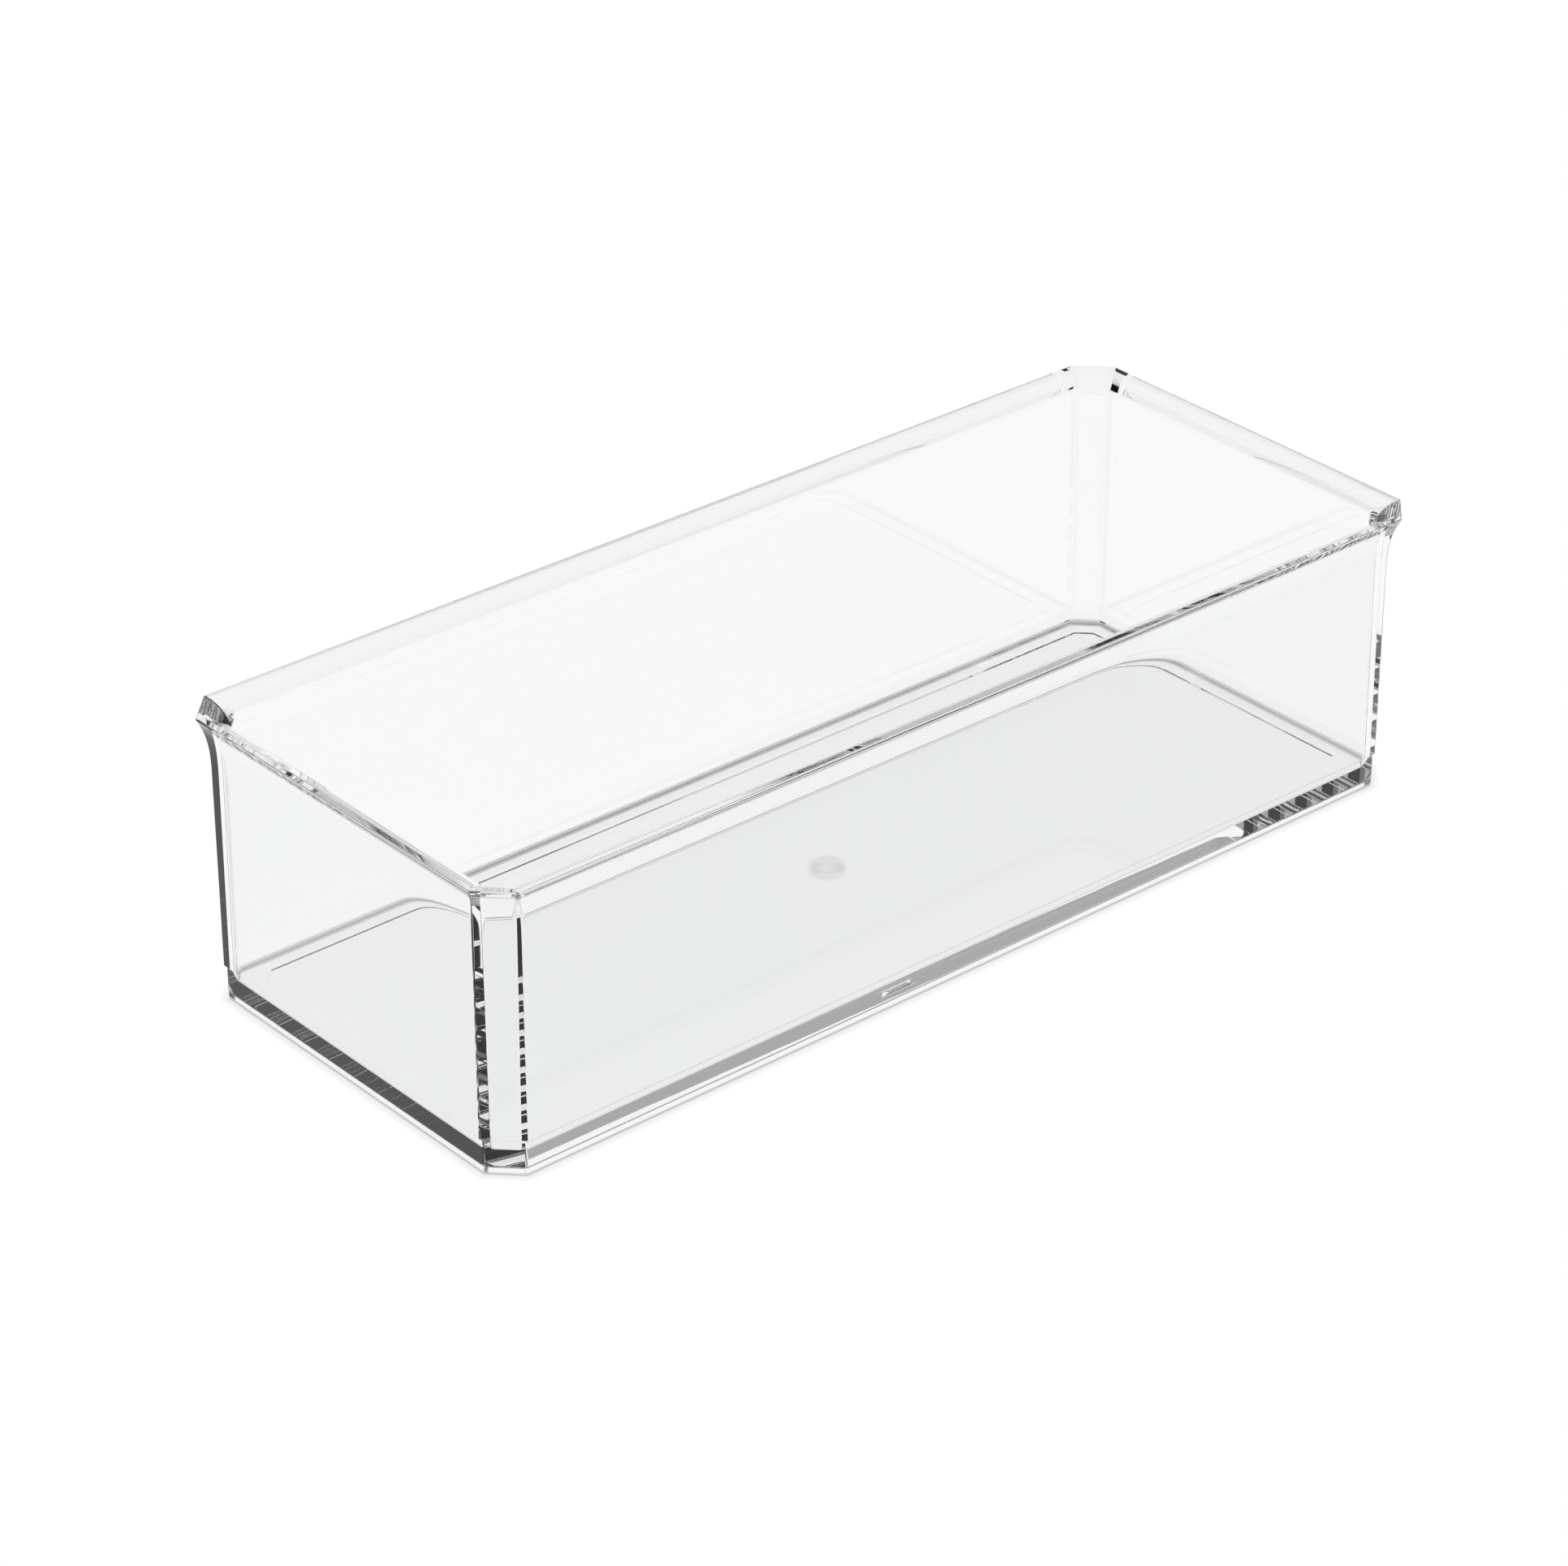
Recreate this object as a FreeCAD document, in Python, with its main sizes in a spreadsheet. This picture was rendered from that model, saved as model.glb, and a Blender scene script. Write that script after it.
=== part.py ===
import FreeCAD, Part

import os

import Sketcher

# A clear moulded tray for tea bags: an eight-sided box with a flared rim, a sloped mouth, a
# thick floor and a continuous foot ring. Millimetres, +Z up, long side along X, origin at the
# middle of the underside of the foot ring.

# Driving dimensions: alias, value, meaning.
SIZES = [
    ("length", 231.0, "length over the rim, before its edge is rounded"),
    ("width", 94.0, "width over the rim, before its edge is rounded"),
    ("height", 60.0, "overall height, foot to rim"),
    ("rim_corner_cut", 6.4, "how much a corner is cut back along each side, at the rim"),
    ("rim_overhang", 1.75, "how far the flared rim stands out past the wall"),
    ("flare_height", 8.0, "height of the flare under the top of the rim"),
    ("rim_land", 1.8, "width of the flat top of the rim"),
    ("mouth_depth", 2.25, "height of the slope from the rim's flat top down to the inside"),
    ("mouth_round", 1.0, "round where that slope meets the inside of the wall"),
    ("wall_thickness", 3.95, "wall between the foot and the flare"),
    ("wall_corner_cut", 6.3, "corner cut of the outer wall"),
    ("floor_thickness", 2.85, "floor plate"),
    ("floor_fillet", 1.0, "round between the walls and the floor"),
    ("foot_height", 7.0, "height of the step where the foot ends and the wall starts"),
    ("foot_step", 0.55, "how far the foot is set in from the wall"),
    ("foot_corner_cut", 5.5, "corner cut of the foot"),
    ("foot_ring_width", 2.2, "width of the foot ring seen from below"),
    ("foot_recess", 1.1, "depth of the recess inside the foot ring"),
    ("foot_round", 0.5, "round on the lower outer edge of the foot"),
    ("rim_round", 0.4, "round on the outer edge of the rim"),
    ("gate_diameter", 8.7, "shallow round dimple in the middle of the floor"),
    ("gate_depth", 0.3, "depth of that dimple"),
]

# A side moved inward by d shortens a 45 degree corner between equal walls by this share of d.
MITRE = "0.5857864376"

# How far each outline lies inside the rim's outside, as expressions on the sheet.
WALL_INSET = "sizes.rim_overhang"
FOOT_INSET = "(sizes.rim_overhang + sizes.foot_step)"
RECESS_INSET = "(sizes.rim_overhang + sizes.foot_step + sizes.foot_ring_width)"
CAVITY_INSET = "(sizes.rim_overhang + sizes.wall_thickness)"

# Corner cut of the inside, which keeps the wall as thick at the corners as at the sides.
CAVITY_CUT = "(sizes.wall_corner_cut - %s * sizes.wall_thickness)" % MITRE

# Levels above the underside of the foot.
FLOOR_TOP = "(sizes.foot_recess + sizes.floor_thickness)"
FLARE_FOOT = "(sizes.height - sizes.flare_height)"


def make_sheet(doc):
    """The spreadsheet that holds the driving dimensions."""
    sheet = doc.addObject("Spreadsheet::Sheet", "sizes")
    for row, (alias, value, meaning) in enumerate(SIZES, start=1):
        sheet.set("A%d" % row, alias)
        sheet.set("B%d" % row, str(value))
        sheet.set("C%d" % row, meaning)
        sheet.setAlias("B%d" % row, alias)
    doc.recompute()
    return sheet


def ground_plane(body):
    """The body's own XY plane."""
    return next(f for f in body.Origin.OriginFeatures if f.Role == "XY_Plane")


def new_sketch(body, name, level):
    """An empty sketch parallel to the ground, at a height given by an expression."""
    sketch = body.newObject("Sketcher::SketchObject", name)
    sketch.AttachmentSupport = [(ground_plane(body), "")]
    sketch.MapMode = "FlatFace"
    sketch.setExpression("AttachmentOffset.Base.z", level)
    return sketch


def constrain(sketch, name, expression, *arguments):
    """Adds a named sketch dimension and binds it to the sheet."""
    index = sketch.addConstraint(Sketcher.Constraint(*arguments))
    sketch.renameConstraint(index, name)
    sketch.setExpression("Constraints." + name, expression)


def octagon(body, name, level, inset, cut):
    """A rectangle with its four corners cut at 45 degrees, inset from the rim's outside."""
    sketch = new_sketch(body, name, level)
    a, b, c = 110.0, 42.0, 5.0  # a start near the solution, which the dimensions below replace
    corners = [(c - a, -b), (a - c, -b), (a, c - b), (a, b - c),
               (a - c, b), (c - a, b), (-a, b - c), (-a, c - b)]
    points = [FreeCAD.Vector(x, y, 0) for x, y in corners]
    for first, second in zip(points, points[1:] + points[:1]):
        sketch.addGeometry(Part.LineSegment(first, second))
    count = len(points)
    for line in range(count):
        sketch.addConstraint(Sketcher.Constraint("Coincident", line, 2, (line + 1) % count, 1))
    # Lines 0 and 4 are the long sides, 2 and 6 the short sides, the odd ones the corner facets.
    for line in (0, 4):
        sketch.addConstraint(Sketcher.Constraint("Symmetric", line, 1, line, 2, -2))
    for line in (2, 6):
        sketch.addConstraint(Sketcher.Constraint("Symmetric", line, 1, line, 2, -1))
    half_width = "sizes.width / 2 - " + inset
    half_length = "sizes.length / 2 - " + inset
    constrain(sketch, "front", half_width, "DistanceY", 0, 1, -1, 1, b)
    constrain(sketch, "back", half_width, "DistanceY", -1, 1, 4, 1, b)
    constrain(sketch, "right", half_length, "DistanceX", -1, 1, 2, 1, a)
    constrain(sketch, "left", half_length, "DistanceX", 6, 1, -1, 1, a)
    constrain(sketch, "front_cut_x", cut, "DistanceX", 1, 1, 1, 2, c)
    constrain(sketch, "front_cut_y", cut, "DistanceY", 1, 1, 1, 2, c)
    constrain(sketch, "back_cut_x", cut, "DistanceX", 5, 2, 5, 1, c)
    constrain(sketch, "back_cut_y", cut, "DistanceY", 5, 2, 5, 1, c)
    return sketch


def pad(body, name, sketch, length):
    """Material added upward from a sketch."""
    feature = body.newObject("PartDesign::Pad", name)
    feature.Profile = sketch
    feature.setExpression("Length", length)
    return feature


def pocket(body, name, sketch, depth, upward):
    """Material taken away from a sketch, upward or downward."""
    feature = body.newObject("PartDesign::Pocket", name)
    feature.Profile = sketch
    feature.setExpression("Length", depth)
    feature.Reversed = upward
    return feature


def loft(body, name, sections):
    """Material added between outlines at rising levels."""
    feature = body.newObject("PartDesign::AdditiveLoft", name)
    feature.Profile = sections[0]
    feature.Sections = sections[1:]
    return feature


def ring_edges(shape, level, half_length, half_width):
    """Names of the edges that lie at one level on the outline of one octagon."""
    names = []
    for number, edge in enumerate(shape.Edges, start=1):
        box = edge.BoundBox
        flat = abs(box.ZMin - level) < 0.01 and abs(box.ZMax - level) < 0.01
        reach_x = max(abs(box.XMin), abs(box.XMax))
        reach_y = max(abs(box.YMin), abs(box.YMax))
        on_end = abs(reach_x - half_length) < 0.01
        on_side = abs(reach_y - half_width) < 0.01
        if flat and (on_end or on_side):
            names.append("Edge%d" % number)
    return names


def dress(doc, body, kind, name, base, level, inset):
    """A fillet or chamfer, still without its sizes, on one octagon's eight edges."""
    sheet = doc.getObject("sizes")
    edges = ring_edges(base.Shape, level, sheet.length / 2 - inset, sheet.width / 2 - inset)
    if len(edges) != 8:
        raise RuntimeError("%s: found %d edges, not 8" % (name, len(edges)))
    feature = body.newObject("PartDesign::" + kind, name)
    feature.Base = (base, edges)
    return feature


def fillet(doc, body, name, base, level, inset, radius):
    """A round along one octagon's eight edges."""
    feature = dress(doc, body, "Fillet", name, base, level, inset)
    feature.setExpression("Radius", radius)
    doc.recompute()
    return feature


def slope(doc, body, name, base, level, inset, across, down):
    """A chamfer along one octagon's eight top edges, so wide and so deep."""
    feature = dress(doc, body, "Chamfer", name, base, level, inset)
    feature.ChamferType = "Two distances"
    feature.setExpression("Size", across)
    feature.setExpression("Size2", down)
    doc.recompute()
    return feature


def make_tray(doc):
    """The whole tray, one moulding."""
    body = doc.addObject("PartDesign::Body", "tray")
    body.Label = "tray"
    sheet = doc.getObject("sizes")

    # Outside: the foot, the upright wall and the flare, whose outline follows a parabola that
    # leaves the wall without a kink: at half its height it has a quarter of its overhang.
    foot_outline = octagon(body, "foot_outline", "0", FOOT_INSET, "sizes.foot_corner_cut")
    wall_outline = octagon(body, "wall_outline", "sizes.foot_height", WALL_INSET,
                           "sizes.wall_corner_cut")
    flare_foot = octagon(body, "flare_foot", FLARE_FOOT, WALL_INSET, "sizes.wall_corner_cut")
    flare_middle = octagon(body, "flare_middle", "sizes.height - sizes.flare_height / 2",
                           "sizes.rim_overhang * 3 / 4",
                           "(sizes.wall_corner_cut * 3 + sizes.rim_corner_cut) / 4")
    rim_outline = octagon(body, "rim_outline", "sizes.height", "0", "sizes.rim_corner_cut")
    pad(body, "foot", foot_outline, "sizes.foot_height")
    pad(body, "wall", wall_outline, FLARE_FOOT + " - sizes.foot_height")
    loft(body, "flare", [flare_foot, flare_middle, rim_outline])

    # Inside: the upright cavity.
    cavity_outline = octagon(body, "cavity_outline", "sizes.height", CAVITY_INSET, CAVITY_CUT)
    pocket(body, "cavity", cavity_outline, "sizes.height - " + FLOOR_TOP, False)

    # Underside: the recess that leaves the foot ring.
    recess_outline = octagon(body, "recess_outline", "0", RECESS_INSET,
                             "sizes.foot_corner_cut - %s * sizes.foot_ring_width" % MITRE)
    pocket(body, "recess", recess_outline, "sizes.foot_recess", True)

    # The gate's dimple in the middle of the floor.
    gate_outline = new_sketch(body, "gate_outline", FLOOR_TOP)
    gate_outline.addGeometry(Part.Circle(FreeCAD.Vector(0, 0, 0), FreeCAD.Vector(0, 0, 1), 4.0))
    gate_outline.addConstraint(Sketcher.Constraint("Coincident", 0, 3, -1, 1))
    constrain(gate_outline, "across", "sizes.gate_diameter", "Diameter", 0, 8.0)
    gate = pocket(body, "gate", gate_outline, "sizes.gate_depth", False)
    doc.recompute()

    # The slope of the mouth, from the rim's flat top down to the inside of the wall.
    cavity_inset = sheet.rim_overhang + sheet.wall_thickness
    mouth = slope(doc, body, "mouth", gate, sheet.height, cavity_inset,
                  "sizes.rim_overhang + sizes.wall_thickness - sizes.rim_land",
                  "sizes.mouth_depth")

    # Rounds: (name, level, inset) of each, with the radius in the cell of the same name.
    rounds = [
        ("floor_fillet", sheet.foot_recess + sheet.floor_thickness, cavity_inset),
        ("mouth_round", sheet.height - sheet.mouth_depth, cavity_inset),
        ("rim_round", sheet.height, 0),
        ("foot_round", 0, sheet.rim_overhang + sheet.foot_step),
    ]
    last = mouth
    for name, level, inset in rounds:
        last = fillet(doc, body, name, last, level, inset, "sizes." + name)
    return body


def check(doc, parts):
    """Stops before anything is written if an object failed or a shape is not sound."""
    for thing in doc.Objects:
        if "Invalid" in thing.State or "Error" in thing.State:
            raise RuntimeError("%s failed" % thing.Name)
    for part in parts:
        shape = part.Shape
        if shape.isNull() or not shape.isValid() or len(shape.Solids) != 1:
            raise RuntimeError("%s is not one sound solid" % part.Label)


def main():
    doc = FreeCAD.newDocument("tea_tray")
    make_sheet(doc)
    parts = [make_tray(doc)]
    doc.recompute()
    check(doc, parts)
    os.makedirs("parts", exist_ok=True)
    for part in parts:
        part.Shape.exportStep("parts/%s.step" % part.Label)
        box = part.Shape.BoundBox
        print("%s: %.1f x %.1f x %.1f mm, %.1f cm3" % (
            part.Label, box.XLength, box.YLength, box.ZLength, part.Shape.Volume / 1000))


main()
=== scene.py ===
import math

import bmesh
import bpy
from mathutils import Matrix, Vector


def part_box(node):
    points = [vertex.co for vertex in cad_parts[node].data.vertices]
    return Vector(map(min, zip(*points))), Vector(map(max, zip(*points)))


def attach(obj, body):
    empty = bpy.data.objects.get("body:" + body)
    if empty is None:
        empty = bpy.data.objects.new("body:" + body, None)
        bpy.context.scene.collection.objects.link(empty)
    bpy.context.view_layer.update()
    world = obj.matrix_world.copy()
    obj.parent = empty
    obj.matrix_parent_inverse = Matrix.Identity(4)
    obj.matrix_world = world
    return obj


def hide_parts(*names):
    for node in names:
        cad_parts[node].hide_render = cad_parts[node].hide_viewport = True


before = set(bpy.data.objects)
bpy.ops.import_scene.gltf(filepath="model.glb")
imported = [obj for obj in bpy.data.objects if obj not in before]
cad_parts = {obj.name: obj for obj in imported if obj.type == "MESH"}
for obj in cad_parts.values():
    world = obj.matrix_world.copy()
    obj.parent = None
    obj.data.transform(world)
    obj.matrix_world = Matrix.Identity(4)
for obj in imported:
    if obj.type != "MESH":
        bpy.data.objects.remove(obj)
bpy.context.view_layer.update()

MM = 0.001

# Sizes of the tray, in millimetres. The overall ones come from the frame. The fine ones below
# were fitted to the brightness of the photograph's lines, so others close to them fit as well.
LOW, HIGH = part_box("tray")
BOX_LENGTH = (HIGH.x - LOW.x) / MM
BOX_WIDTH = (HIGH.y - LOW.y) / MM
HEIGHT = HIGH.z / MM

RIM_CUT = 6.4
RIM_OVERHANG = 1.8
FLARE_HEIGHT = 12.26
FLARE_POWER = 3.28
RIM_LAND = 1.65
MOUTH_DEPTH = 2.38
MOUTH_INSET = 5.67
FLOOR_INSET = 5.67
WALL_CUT = 6.3
INNER_CUT = 4.0
INNER_CUT_DRAFT = 0.5
FLOOR = 3.19
DIP_INSET = 10.2
DIP_WIDTH = 0.32
DIP_DEPTH = 0.16
DIP_CUT = 2.85
FOOT_HEIGHT = 7.36
FOOT_STEP = 0.72
FOOT_DRAFT = 0.04
FOOT_CUT = 5.5
FOOT_RING = 1.75
RECESS = 0.84
GATE_RADIUS = 4.4
GATE_DEPTH = 0.12
STEP_ROUND_SHARE = 0.4
CORNER_SHARE = 0.45
SHARP_ANGLE = 28

# The gate's dimple, in shares of its radius: its outermost and innermost rings, where its slope
# starts and how wide the slope is.
GATE_OUTER = 1.3
GATE_INNER = 0.05
GATE_SLOPE_START = 1.15
GATE_SLOPE = 0.8
GATE_RINGS = 14

# Rounds on the moulding's edges.
RIM_ROUND = 0.28
LAND_ROUND = 0.78
MOUTH_ROUND = 0.83
FLOOR_FILLET = 0.58
DIP_ROUND = 0.41
FOOT_ROUND = 0.9
RING_ROUND = 0.38
RECESS_ROUND = 0.45
OUTER_CORNER_ROUND = 0.8
INNER_CORNER_ROUND = 1.2

# The sharp outline of the rim: its round takes a little off each side, and SPARE keeps the
# tray inside the frame's box.
FLARE_LEAN = math.atan(FLARE_POWER * RIM_OVERHANG / FLARE_HEIGHT)
RIM_TRIM = RIM_ROUND * (math.tan(FLARE_LEAN) + 1 / math.cos(FLARE_LEAN) - 1)
SPARE = 0.03
LENGTH = BOX_LENGTH + 2 * (RIM_TRIM - SPARE)
WIDTH = BOX_WIDTH + 2 * (RIM_TRIM - SPARE)

# The share of an inward offset by which a 45 degree corner cut between equal walls shrinks.
MITRE = 2 - math.sqrt(2)

# The plastic. Its colour is a little darker than clear plastic's own, for the photograph's greys.
IOR = 1.49
FLOW_SCALE = 60
FLOW_DEPTH = 0.00001
MARKS_SCALE = 350
MARKS_DETAIL = 6
MARKS_FROM = 0.55
MARKS_TO = 0.8
HAZE = 0.035
DRIFT_SCALE = 12
TINT_DARK = (0.938, 0.944, 0.944, 1)
TINT_PALE = (0.954, 0.957, 0.957, 1)
# The gate mark: the darkness of the ring painted into its colour on the dimple's slope (painted
# shade), where it lies, and the tone of its middle.
GATE_PAINTED_SHADE = 0.75
GATE_CENTRE = 0.95
GATE_PAINTED_SHADE_AT = 0.65

# Camera, fitted to the tray's outline in the photograph: distances in lengths of the frame's box.
PHOTO_WIDTH = 1932
FOCAL_PIXELS = 6471.39
SENSOR = 36.0
AZIMUTH = math.radians(-40.584)
ELEVATION = math.radians(29.523)
ROLL = math.radians(-0.0962)
DISTANCE = 4.36262
AIM_HEIGHT = 0.130062
OFFSET_RIGHT = -0.0307553
OFFSET_UP = -0.0327622

# The room's brightness, and the soft light's: where it is, how wide, how bright.
ROOM = 0.12
LIGHT = 0.4
LIGHT_AIM = (0.57, 0.66, 0.49)
LIGHT_SPREAD = 40.0
LIGHT_CORE = 15.0

# The pale backdrop: how far it stands above the horizon, and over what height it fades, in degrees.
BACKDROP = 7.0
BACKDROP_FADE = 5.0

# The contact shadow painted on the glowing table: its depth and reach on each side of the foot ring.
RING_SHADE = 0.59
EDGE_SHADE = 0.86
SHADE_OUT = 2.15
SHADE_IN = 0.58
STOP_GAP = 0.001

# The table, in metres: its radius, and how far it lies below the foot ring.
TABLE_RADIUS = 30
TABLE_DROP = 0.00002

# Light goes through many faces of the plastic before it leaves.
BOUNCES = 18


def rounded(before, corner, after, radius, steps=5):
    """Points of the arc that rounds one corner of the section; each point is (inset, level, cut)."""
    a, b, c = (Vector(p[:2]) for p in (before, corner, after))
    inward = (b - a).normalized()
    outward = (c - b).normalized()
    turn = inward.angle(outward)
    reach = radius * math.tan(turn / 2)
    start = b - inward * reach
    centre = b + (outward - inward).normalized() * (radius / math.cos(turn / 2))
    sign = 1 if inward.x * outward.y - inward.y * outward.x > 0 else -1
    first_cut = corner[2] + (before[2] - corner[2]) * reach / max((b - a).length, reach)
    last_cut = corner[2] + (after[2] - corner[2]) * reach / max((c - b).length, reach)
    points = []
    for i in range(steps + 1):
        share = i / steps
        turned = Matrix.Rotation(sign * turn * share, 2) @ (start - centre)
        points.append((*(centre + turned), first_cut + (last_cut - first_cut) * share))
    return points


def smooth_section(keys):
    """The section with each key's corner rounded; a key is (inset, level, cut, radius)."""
    points = [keys[0][:3]]
    for before, corner, after in zip(keys, keys[1:], keys[2:]):
        if corner[3] > 0:
            points += rounded(before, corner, after, corner[3])
        else:
            points.append(corner[:3])
    points.append(keys[-1][:3])
    return points


def flare(steps=12):
    """Keys of the outer flare, whose curve leaves the wall without a kink."""
    keys = []
    for i in range(1, steps):
        share = i / steps
        lean = share ** FLARE_POWER
        keys.append((RIM_OVERHANG * (1 - lean), HEIGHT - FLARE_HEIGHT * (1 - share),
                     WALL_CUT + (RIM_CUT - WALL_CUT) * lean, 0))
    return keys


def tray_section():
    """The wall's section, from the recess under the floor round the rim to the floor inside."""
    foot_inset = RIM_OVERHANG + FOOT_STEP
    recess_inset = foot_inset + FOOT_DRAFT + FOOT_RING
    recess_cut = FOOT_CUT - MITRE * FOOT_RING
    floor_top = RECESS + FLOOR
    floor_cut = INNER_CUT - INNER_CUT_DRAFT
    step_round = STEP_ROUND_SHARE * FOOT_STEP
    keys = [
        (recess_inset + 2 * RECESS_ROUND, RECESS, recess_cut - MITRE * 2 * RECESS_ROUND, 0),
        (recess_inset, RECESS, recess_cut, RECESS_ROUND),
        (recess_inset, 0, recess_cut, RING_ROUND),
        (foot_inset + FOOT_DRAFT, 0, FOOT_CUT, FOOT_ROUND),
        (foot_inset, FOOT_HEIGHT - FOOT_STEP / 2, FOOT_CUT, step_round),
        (RIM_OVERHANG, FOOT_HEIGHT + FOOT_STEP / 2, WALL_CUT, step_round),
        (RIM_OVERHANG, HEIGHT - FLARE_HEIGHT, WALL_CUT, 0),
    ]
    keys += flare()
    keys += [
        (0, HEIGHT, RIM_CUT, RIM_ROUND),
        (RIM_LAND, HEIGHT, RIM_CUT - MITRE * RIM_LAND, LAND_ROUND),
        (MOUTH_INSET, HEIGHT - MOUTH_DEPTH, INNER_CUT, MOUTH_ROUND),
        (FLOOR_INSET, floor_top, floor_cut, FLOOR_FILLET),
        (DIP_INSET, floor_top, DIP_CUT, DIP_ROUND),
        (DIP_INSET + DIP_WIDTH, floor_top - DIP_DEPTH, DIP_CUT, DIP_ROUND),
        (DIP_INSET + DIP_WIDTH + 2 * DIP_ROUND, floor_top - DIP_DEPTH, DIP_CUT - MITRE * DIP_ROUND, 0),
    ]
    return smooth_section(keys)


def octagon(inset, level, cut, radius, steps=4):
    """One closed outline of the tray, its eight corners rounded."""
    a = LENGTH / 2 - inset
    b = WIDTH / 2 - inset
    corners = [(a - cut, -b), (a, cut - b), (a, b - cut), (a - cut, b),
               (cut - a, b), (-a, b - cut), (-a, cut - b), (cut - a, -b)]
    outline = []
    turn = math.pi / 4
    reach = min(radius * math.tan(turn / 2), CORNER_SHARE * cut * math.sqrt(2))
    fitted = reach / math.tan(turn / 2)
    for i, corner in enumerate(corners):
        here = Vector(corner)
        inward = (here - Vector(corners[i - 1])).normalized()
        outward = (Vector(corners[(i + 1) % 8]) - here).normalized()
        centre = here + (outward - inward).normalized() * (fitted / math.cos(turn / 2))
        start = here - inward * reach - centre
        for k in range(steps + 1):
            point = centre + Matrix.Rotation(turn * k / steps, 2) @ start
            outline.append(Vector((point.x, point.y, level)) * MM)
    return outline


def bridge(bm, lower, upper):
    """Faces between two rings with the same number of points."""
    for i in range(len(lower)):
        j = (i + 1) % len(lower)
        bm.faces.new((lower[i], lower[j], upper[j], upper[i]))


def gate_rings(bm, edge, level):
    """The floor inside the dip's edge, down to the shallow round dimple in its middle."""
    angles = [math.atan2(v.co.y, v.co.x) for v in edge]
    previous = edge
    for i in range(GATE_RINGS):
        part = GATE_OUTER - (GATE_OUTER - GATE_INNER) * i / (GATE_RINGS - 1)
        radius = GATE_RADIUS * part
        share = min(max((GATE_SLOPE_START - part) / GATE_SLOPE, 0), 1)
        sunk = GATE_DEPTH * (0.5 - 0.5 * math.cos(math.pi * share))
        ring = [bm.verts.new(Vector((radius * math.cos(a), radius * math.sin(a), level - sunk)) * MM)
                for a in angles]
        bridge(bm, previous, ring)
        previous = ring
    bm.faces.new(previous)


def make_tray():
    """The moulded tray: its section swept round the eight-sided outline, then closed."""
    section = tray_section()
    top = max(range(len(section)), key=lambda i: section[i][1])
    bm = bmesh.new()
    rings = []
    for i, (inset, level, cut) in enumerate(section):
        depth = min(max(inset / MOUTH_INSET, 0), 1) if i > top else 0
        radius = OUTER_CORNER_ROUND + (INNER_CORNER_ROUND - OUTER_CORNER_ROUND) * depth
        rings.append([bm.verts.new(p) for p in octagon(inset, level, cut, radius)])
    for lower, upper in zip(rings, rings[1:]):
        bridge(bm, lower, upper)
    bm.faces.new(rings[0])
    gate_rings(bm, rings[-1], section[-1][1])
    bmesh.ops.recalc_face_normals(bm, faces=bm.faces)
    for face in bm.faces:
        face.smooth = True
    for edge in bm.edges:
        if len(edge.link_faces) == 2 and edge.calc_face_angle(0) > math.radians(SHARP_ANGLE):
            edge.smooth = False
    mesh = bpy.data.meshes.new("tray_moulding")
    bm.to_mesh(mesh)
    bm.free()
    tray = bpy.data.objects.new("tray_moulding", mesh)
    bpy.context.collection.objects.link(tray)
    normals = tray.modifiers.new("even_normals", "WEIGHTED_NORMAL")
    normals.keep_sharp = True
    normals.weight = 100
    return tray


def arithmetic(nodes, links, operation, first, second):
    """One step of arithmetic on node outputs or plain numbers."""
    step = nodes.new("ShaderNodeMath")
    step.operation = operation
    for socket, value in zip(step.inputs, (first, second)):
        if isinstance(value, bpy.types.NodeSocket):
            links.new(value, socket)
        else:
            socket.default_value = value
    return step.outputs[0]


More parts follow.
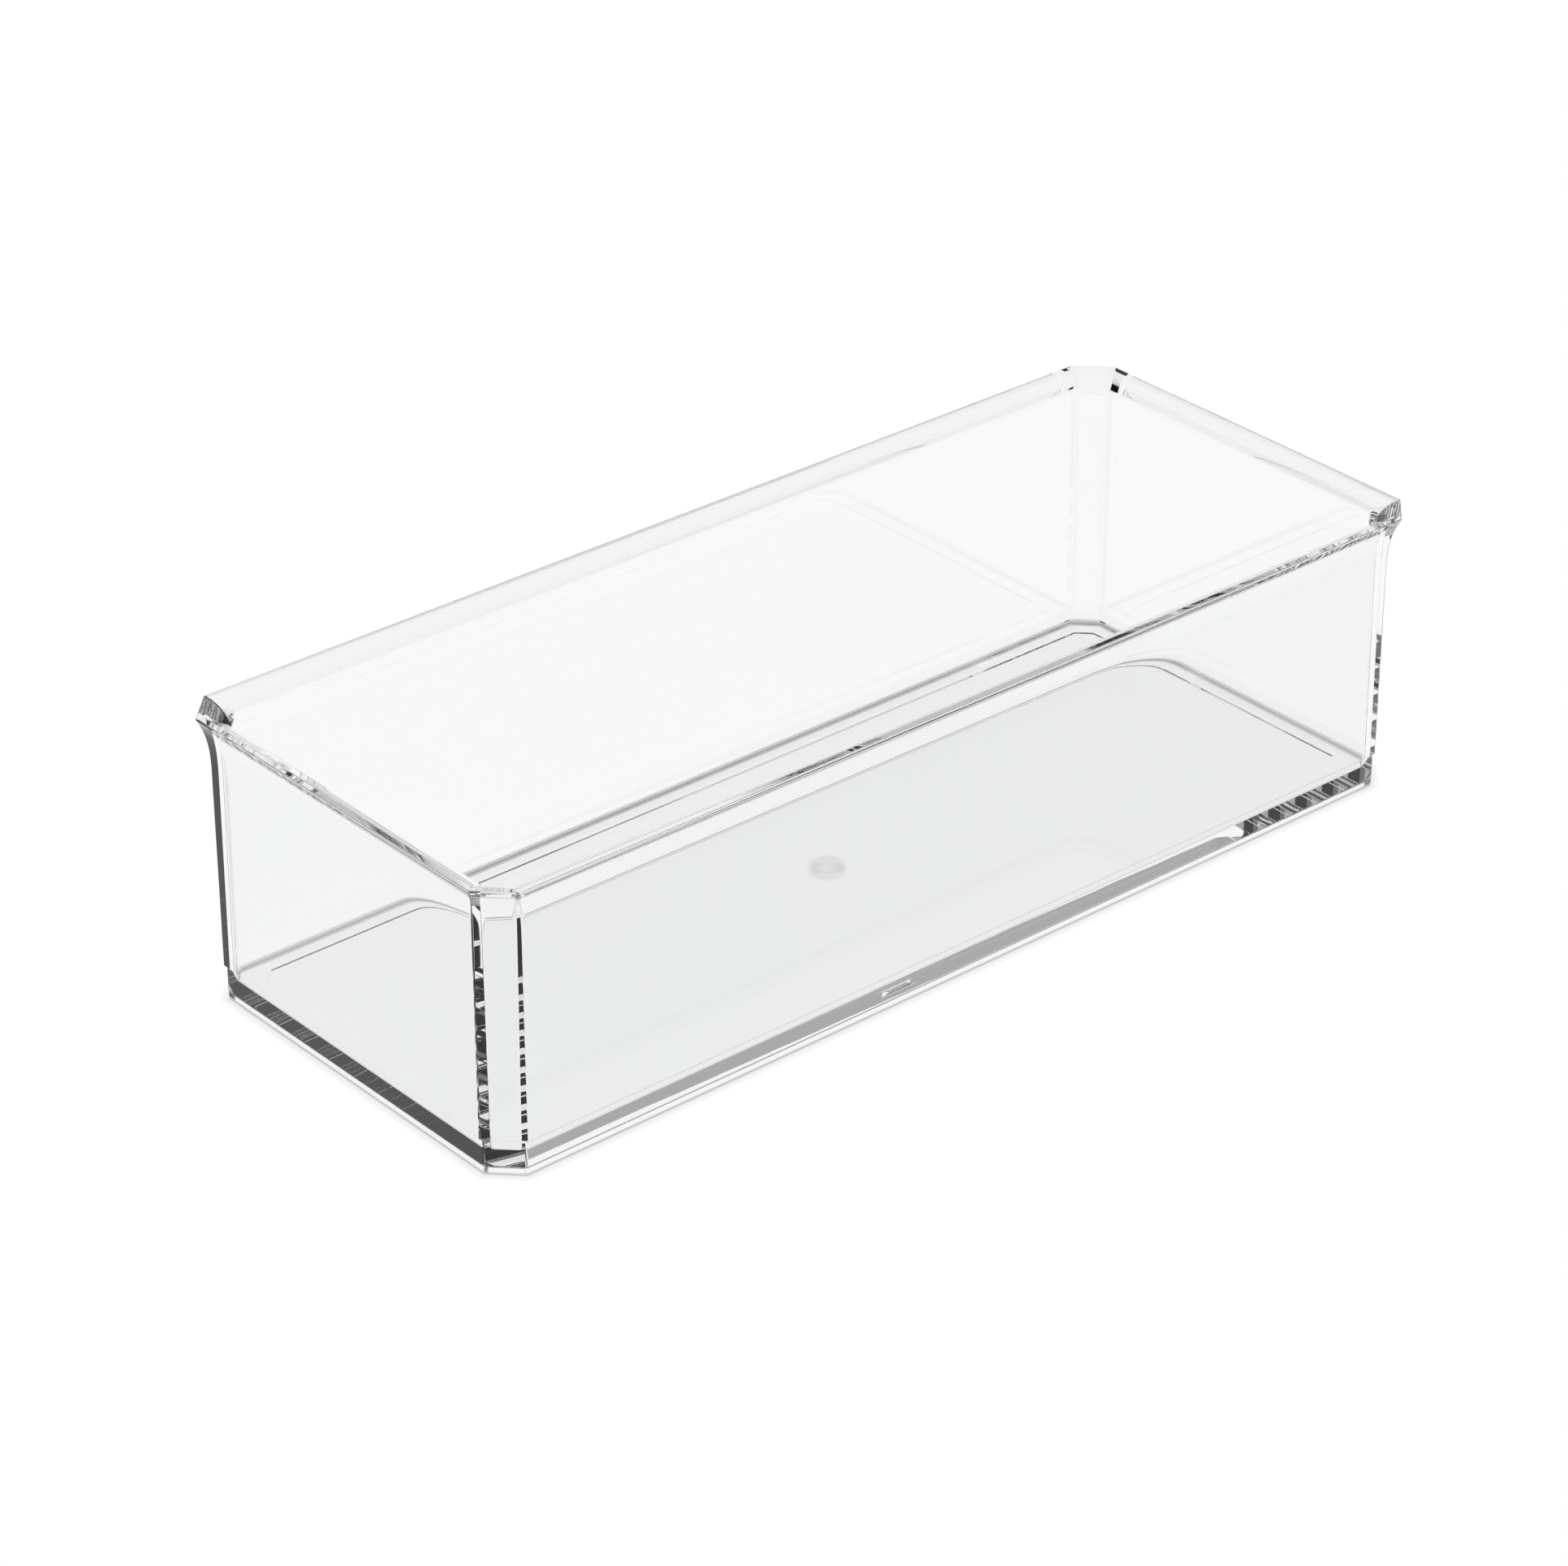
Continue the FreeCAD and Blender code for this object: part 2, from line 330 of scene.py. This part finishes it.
def clear_plastic():
    """Clear moulded plastic: faint flow lines, hazy specks, a light grey and a gate mark ringed with
    painted shade.
    """
    material = bpy.data.materials.new("clear_plastic")
    material.use_nodes = True
    nodes = material.node_tree.nodes
    links = material.node_tree.links
    shader = nodes["Principled BSDF"]
    shader.inputs["Transmission Weight"].default_value = 1
    shader.inputs["IOR"].default_value = IOR
    place = nodes.new("ShaderNodeTexCoord")

    # Slow waves left by the flow of the plastic, which bend the lines seen through it.
    waves = nodes.new("ShaderNodeTexNoise")
    waves.inputs["Scale"].default_value = FLOW_SCALE
    waves.inputs["Detail"].default_value = 1
    bump = nodes.new("ShaderNodeBump")
    bump.inputs["Strength"].default_value = 1
    bump.inputs["Distance"].default_value = FLOW_DEPTH
    links.new(place.outputs["Object"], waves.inputs["Vector"])
    links.new(waves.outputs["Fac"], bump.inputs["Height"])
    links.new(bump.outputs["Normal"], shader.inputs["Normal"])

    # A faint haze of handling marks.
    marks = nodes.new("ShaderNodeTexNoise")
    marks.inputs["Scale"].default_value = MARKS_SCALE
    marks.inputs["Detail"].default_value = MARKS_DETAIL
    haze = nodes.new("ShaderNodeMapRange")
    haze.inputs["From Min"].default_value = MARKS_FROM
    haze.inputs["From Max"].default_value = MARKS_TO
    haze.inputs["To Min"].default_value = 0.0
    haze.inputs["To Max"].default_value = HAZE
    links.new(place.outputs["Object"], marks.inputs["Vector"])
    links.new(marks.outputs["Fac"], haze.inputs["Value"])
    links.new(haze.outputs["Result"], shader.inputs["Roughness"])

    # A trace of colour that drifts along the moulding.
    drift = nodes.new("ShaderNodeTexNoise")
    drift.inputs["Scale"].default_value = DRIFT_SCALE
    tint = nodes.new("ShaderNodeValToRGB")
    tint.color_ramp.elements[0].color = TINT_DARK
    tint.color_ramp.elements[1].color = TINT_PALE
    links.new(place.outputs["Object"], drift.inputs["Vector"])
    links.new(drift.outputs["Fac"], tint.inputs["Fac"])

    # The gate mark in the middle of the floor: a ring of painted shade in its colour, for the
    # darkening along the dimple's slopes.
    across = nodes.new("ShaderNodeVectorMath")
    across.operation = "MULTIPLY"
    across.inputs[1].default_value = (1, 1, 0)
    radius = nodes.new("ShaderNodeVectorMath")
    radius.operation = "LENGTH"
    links.new(place.outputs["Object"], across.inputs[0])
    links.new(across.outputs["Vector"], radius.inputs[0])
    share = arithmetic(nodes, links, "DIVIDE", radius.outputs["Value"], GATE_RADIUS * MM)
    mark = nodes.new("ShaderNodeValToRGB")
    mark.color_ramp.interpolation = "EASE"
    mark.color_ramp.elements[0].color = (GATE_CENTRE, GATE_CENTRE, GATE_CENTRE, 1)
    ring = mark.color_ramp.elements.new(GATE_PAINTED_SHADE_AT)
    ring.color = (GATE_PAINTED_SHADE, GATE_PAINTED_SHADE, GATE_PAINTED_SHADE, 1)
    painted_shade_tint = nodes.new("ShaderNodeVectorMath")
    painted_shade_tint.operation = "MULTIPLY"
    links.new(share, mark.inputs["Fac"])
    links.new(tint.outputs["Color"], painted_shade_tint.inputs[0])
    links.new(mark.outputs["Color"], painted_shade_tint.inputs[1])
    links.new(painted_shade_tint.outputs["Vector"], shader.inputs["Base Color"])
    return material


def painted_contact_shade(nodes, links):
    """The table's painted contact shadow: its glow is darkened close to the foot ring and under it."""
    outside = RIM_OVERHANG + FOOT_STEP + FOOT_DRAFT
    reach_x = (LENGTH / 2 - outside) * MM
    reach_y = (WIDTH / 2 - outside) * MM
    reach_corner = reach_x + reach_y - FOOT_CUT * MM
    place = nodes.new("ShaderNodeTexCoord")
    fold = nodes.new("ShaderNodeVectorMath")
    fold.operation = "ABSOLUTE"
    parts = nodes.new("ShaderNodeSeparateXYZ")
    links.new(place.outputs["Object"], fold.inputs[0])
    links.new(fold.outputs[0], parts.inputs[0])
    past_x = arithmetic(nodes, links, "SUBTRACT", parts.outputs["X"], reach_x)
    past_y = arithmetic(nodes, links, "SUBTRACT", parts.outputs["Y"], reach_y)
    both = arithmetic(nodes, links, "ADD", parts.outputs["X"], parts.outputs["Y"])
    past_corner = arithmetic(nodes, links, "SUBTRACT", both, reach_corner)
    past_corner = arithmetic(nodes, links, "MULTIPLY", past_corner, math.sqrt(0.5))
    past = arithmetic(nodes, links, "MAXIMUM", past_x, past_y)
    past = arithmetic(nodes, links, "MAXIMUM", past, past_corner)
    span = FOOT_RING + SHADE_IN + SHADE_OUT
    share = arithmetic(nodes, links, "MULTIPLY_ADD", past, 1 / (span * MM))
    share.node.inputs[2].default_value = (FOOT_RING + SHADE_IN) / span
    # Painted shadow: this ramp darkens the table's glow round and under the foot ring.
    ramp = nodes.new("ShaderNodeValToRGB")
    ramp.color_ramp.interpolation = "EASE"
    stops = ramp.color_ramp.elements
    stops[0].position = 0
    stops[0].color = (1, 1, 1, 1)
    stops[1].position = 1
    stops[1].color = (1, 1, 1, 1)
    ring_edge = stops.new(SHADE_IN / span)
    ring_edge.color = (RING_SHADE, RING_SHADE, RING_SHADE, 1)
    foot_edge = stops.new((SHADE_IN + FOOT_RING) / span - STOP_GAP)
    foot_edge.color = (RING_SHADE, RING_SHADE, RING_SHADE, 1)
    open_edge = stops.new((SHADE_IN + FOOT_RING) / span)
    open_edge.color = (EDGE_SHADE, EDGE_SHADE, EDGE_SHADE, 1)
    links.new(share, ramp.inputs["Fac"])
    return ramp.outputs["Color"]


def make_floor():
    """A pale table that glows evenly, but for the contact shadow painted round the foot ring."""
    bm = bmesh.new()
    bmesh.ops.create_circle(bm, cap_ends=True, segments=96, radius=TABLE_RADIUS)
    mesh = bpy.data.meshes.new("table")
    bm.to_mesh(mesh)
    bm.free()
    floor = bpy.data.objects.new("table", mesh)
    floor.location.z = -TABLE_DROP
    bpy.context.collection.objects.link(floor)
    material = bpy.data.materials.new("glowing_table_painted_shadow")
    material.use_nodes = True
    nodes = material.node_tree.nodes
    nodes.remove(nodes["Principled BSDF"])
    glow = nodes.new("ShaderNodeEmission")
    glow.inputs["Strength"].default_value = 1
    links = material.node_tree.links
    # The glow's colour carries the painted contact shadow round the foot ring.
    links.new(painted_contact_shade(nodes, links), glow.inputs["Color"])
    links.new(glow.outputs[0], nodes["Material Output"].inputs["Surface"])
    mesh.materials.append(material)


def make_studio():
    """A soft studio: a dim room, a pale backdrop low round it and one broad light behind."""
    world = bpy.data.worlds.new("studio")
    bpy.context.scene.world = world
    world.use_nodes = True
    nodes = world.node_tree.nodes
    links = world.node_tree.links
    background = nodes["Background"]
    background.inputs["Strength"].default_value = 1
    place = nodes.new("ShaderNodeTexCoord")
    aim = nodes.new("ShaderNodeVectorMath")
    aim.operation = "DOT_PRODUCT"
    aim.inputs[1].default_value = LIGHT_AIM
    lobe = nodes.new("ShaderNodeMapRange")
    lobe.interpolation_type = "SMOOTHSTEP"
    lobe.inputs["From Min"].default_value = math.cos(math.radians(LIGHT_SPREAD))
    lobe.inputs["From Max"].default_value = math.cos(math.radians(LIGHT_CORE))
    lobe.inputs["To Min"].default_value = ROOM
    lobe.inputs["To Max"].default_value = LIGHT
    parts = nodes.new("ShaderNodeSeparateXYZ")
    backdrop = nodes.new("ShaderNodeMapRange")
    backdrop.interpolation_type = "SMOOTHSTEP"
    backdrop.inputs["From Min"].default_value = math.sin(math.radians(BACKDROP))
    backdrop.inputs["From Max"].default_value = math.sin(math.radians(BACKDROP + BACKDROP_FADE))
    backdrop.inputs["To Min"].default_value = 1
    backdrop.inputs["To Max"].default_value = 0
    links.new(place.outputs["Generated"], aim.inputs[0])
    links.new(place.outputs["Generated"], parts.inputs[0])
    links.new(aim.outputs["Value"], lobe.inputs["Value"])
    links.new(parts.outputs["Z"], backdrop.inputs["Value"])
    light = arithmetic(nodes, links, "MAXIMUM", lobe.outputs["Result"], backdrop.outputs["Result"])
    links.new(light, background.inputs["Color"])


def make_camera():
    """The photograph's view."""
    away = Vector((math.sin(AZIMUTH) * math.cos(ELEVATION),
                   -math.cos(AZIMUTH) * math.cos(ELEVATION), math.sin(ELEVATION)))
    level_right = (-away).cross(Vector((0, 0, 1))).normalized()
    level_up = level_right.cross(-away)
    right = level_right * math.cos(ROLL) + level_up * math.sin(ROLL)
    up = level_up * math.cos(ROLL) - level_right * math.sin(ROLL)
    unit = BOX_LENGTH * MM
    place = (Vector((0, 0, AIM_HEIGHT)) + right * OFFSET_RIGHT + up * OFFSET_UP
             + away * DISTANCE) * unit
    data = bpy.data.cameras.new("camera")
    data.sensor_width = SENSOR
    data.lens = FOCAL_PIXELS * SENSOR / PHOTO_WIDTH
    data.clip_start = 0.01
    camera = bpy.data.objects.new("camera", data)
    axes = Matrix((right, up, away)).transposed().to_4x4()
    camera.matrix_world = Matrix.Translation(place) @ axes
    bpy.context.collection.objects.link(camera)
    bpy.context.scene.camera = camera


tray = make_tray()
tray.data.materials.append(clear_plastic())
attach(tray, "root")
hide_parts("tray")
make_floor()
make_studio()
make_camera()

scene = bpy.context.scene
scene.view_settings.view_transform = "Standard"
scene.cycles.max_bounces = BOUNCES
scene.cycles.transmission_bounces = BOUNCES
scene.cycles.glossy_bounces = BOUNCES
